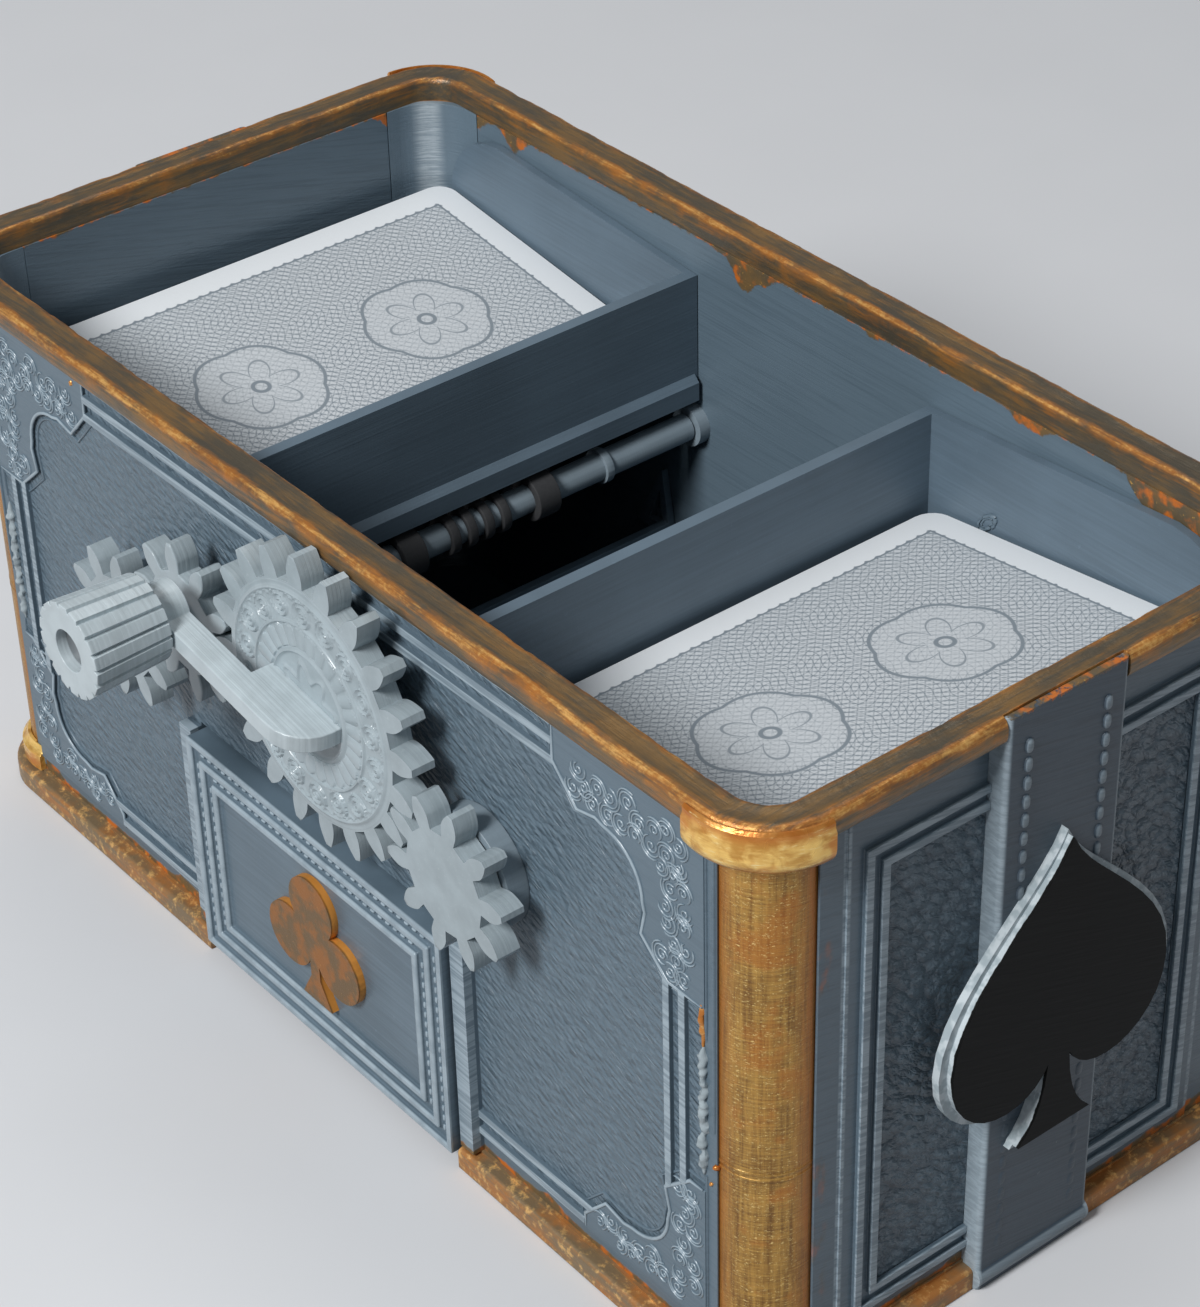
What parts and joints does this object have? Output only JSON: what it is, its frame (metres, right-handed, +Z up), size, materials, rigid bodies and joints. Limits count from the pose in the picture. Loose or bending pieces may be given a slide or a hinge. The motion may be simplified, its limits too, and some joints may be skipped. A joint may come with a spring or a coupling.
{
  "type": "card shuffler",
  "caption": "Hand-cranked tabletop card shuffler: a rectangular box with sloping card trays, an outside gear train driving rubber feed rollers, and a drawer that catches the shuffled cards.",
  "frame": {"origin": "middle of the underside of the floor plate, the face the box stands on", "axes": "+X along the box towards the end with the spade shown in the picture, +Y from the crank side to the back, +Z up"},
  "size_m": [0.2132, 0.1357, 0.104],
  "materials": {
    "wall": "blue-grey printed plastic with fine layer lines, pressed leather-like panels on the long walls and hammered panels on the ends",
    "tray": "smooth blue-grey printed plastic with fine layer lines",
    "trim": "hand-brushed gold and copper paint over plastic, worn and patchy, browner on flat faces and brighter on edges",
    "gear": "light grey printed plastic with a satin sheen",
    "metal": "plain drawn steel rod",
    "bush": "smooth light blue-grey plastic",
    "rubber": "dark matt rubber",
    "spade": "black paint on the face, pale unpainted grey on the edge",
    "club": "orange-gold paint on a raised emblem",
    "card": "white card stock with a fine blue-grey back design and a plain white border"
  },
  "bodies": {
    "shell": {"floor_plate": "wall", "base_trim": "trim", "front_wall": "wall", "back_wall": "wall", "end_wall_left": "wall", "end_wall_right": "wall", "top_rim": "trim", "column_front_left": "trim", "column_front_right": "trim", "column_back_left": "trim", "column_back_right": "trim", "column_collars": "trim", "column_bases": "trim", "strap_left": "wall", "strap_right": "wall", "spade_left": "spade", "spade_right": "spade", "tray_left": "tray", "tray_right": "tray", "bin_wall_left": "tray", "bin_wall_right": "tray", "feed_bushes": "bush", "exit_bushes": "bush", "crank_bush": "bush", "idler_axle": "bush", "idler_cap": "bush"},
    "crank": {"crank_gear": "gear", "crank_axle": "metal", "crank_clip": "metal", "crank_arm": "gear", "knob_pin": "metal"},
    "knob": {"crank_knob": "gear"},
    "idler": {"idler_gear": "gear"},
    "feed_right": {"pinion_right": "gear", "feed_shaft_right": "metal", "feed_tyres_right": "rubber", "shaft_clip_right": "metal"},
    "feed_left": {"pinion_left": "gear", "feed_shaft_left": "metal", "feed_tyres_left": "rubber", "shaft_clip_left": "metal"},
    "exit_right": {"exit_roller_right": "bush", "exit_tyres_right": "rubber"},
    "exit_left": {"exit_roller_left": "bush", "exit_tyres_left": "rubber"},
    "drawer": {"drawer_box": "tray", "drawer_front": "wall", "club_emblem": "club"},
    "pack_right": {"card_pack_right": "card"},
    "pack_left": {"card_pack_left": "card"}
  },
  "joints": [
    {"name": "crank_spin", "type": "hinge", "parent": "shell", "child": "crank", "pos_m": [0.01134, 0, 0.07755], "axis": [0, 1, 0], "continuous": true},
    {"name": "knob_spin", "type": "hinge", "parent": "crank", "child": "knob", "pos_m": [-0.01731, 0, 0.08209], "axis": [0, 1, 0], "continuous": true},
    {"name": "pinion_right_spin", "type": "hinge", "parent": "shell", "child": "feed_right", "pos_m": [0.042, 0, 0.06339], "axis": [0, 1, 0], "continuous": true},
    {"name": "idler_spin", "type": "hinge", "parent": "shell", "child": "idler", "pos_m": [-0.02228, 0, 0.07427], "axis": [0, 1, 0], "continuous": true},
    {"name": "pinion_left_spin", "type": "hinge", "parent": "shell", "child": "feed_left", "pos_m": [-0.042, 0, 0.06339], "axis": [0, 1, 0], "continuous": true},
    {"name": "exit_right_spin", "type": "hinge", "parent": "shell", "child": "exit_right", "pos_m": [0.028, 0, 0.0644], "axis": [0, 1, 0], "continuous": true},
    {"name": "exit_left_spin", "type": "hinge", "parent": "shell", "child": "exit_left", "pos_m": [-0.028, 0, 0.0644], "axis": [0, 1, 0], "continuous": true},
    {"name": "drawer_slide", "type": "slide", "parent": "shell", "child": "drawer", "axis": [0, -1, 0], "range_m": [0, 0.085]},
    {"name": "pack_right_lift", "type": "slide", "parent": "shell", "child": "pack_right", "axis": [0, 0, 1], "range_m": [0, 0.05]},
    {"name": "pack_left_lift", "type": "slide", "parent": "shell", "child": "pack_left", "axis": [0, 0, 1], "range_m": [0, 0.05]}
  ],
  "couplings": [
    {"joint": "pinion_right_spin", "follows": "crank_spin", "ratio": -2},
    {"joint": "idler_spin", "follows": "crank_spin", "ratio": -2},
    {"joint": "pinion_left_spin", "follows": "crank_spin", "ratio": 2}
  ]
}
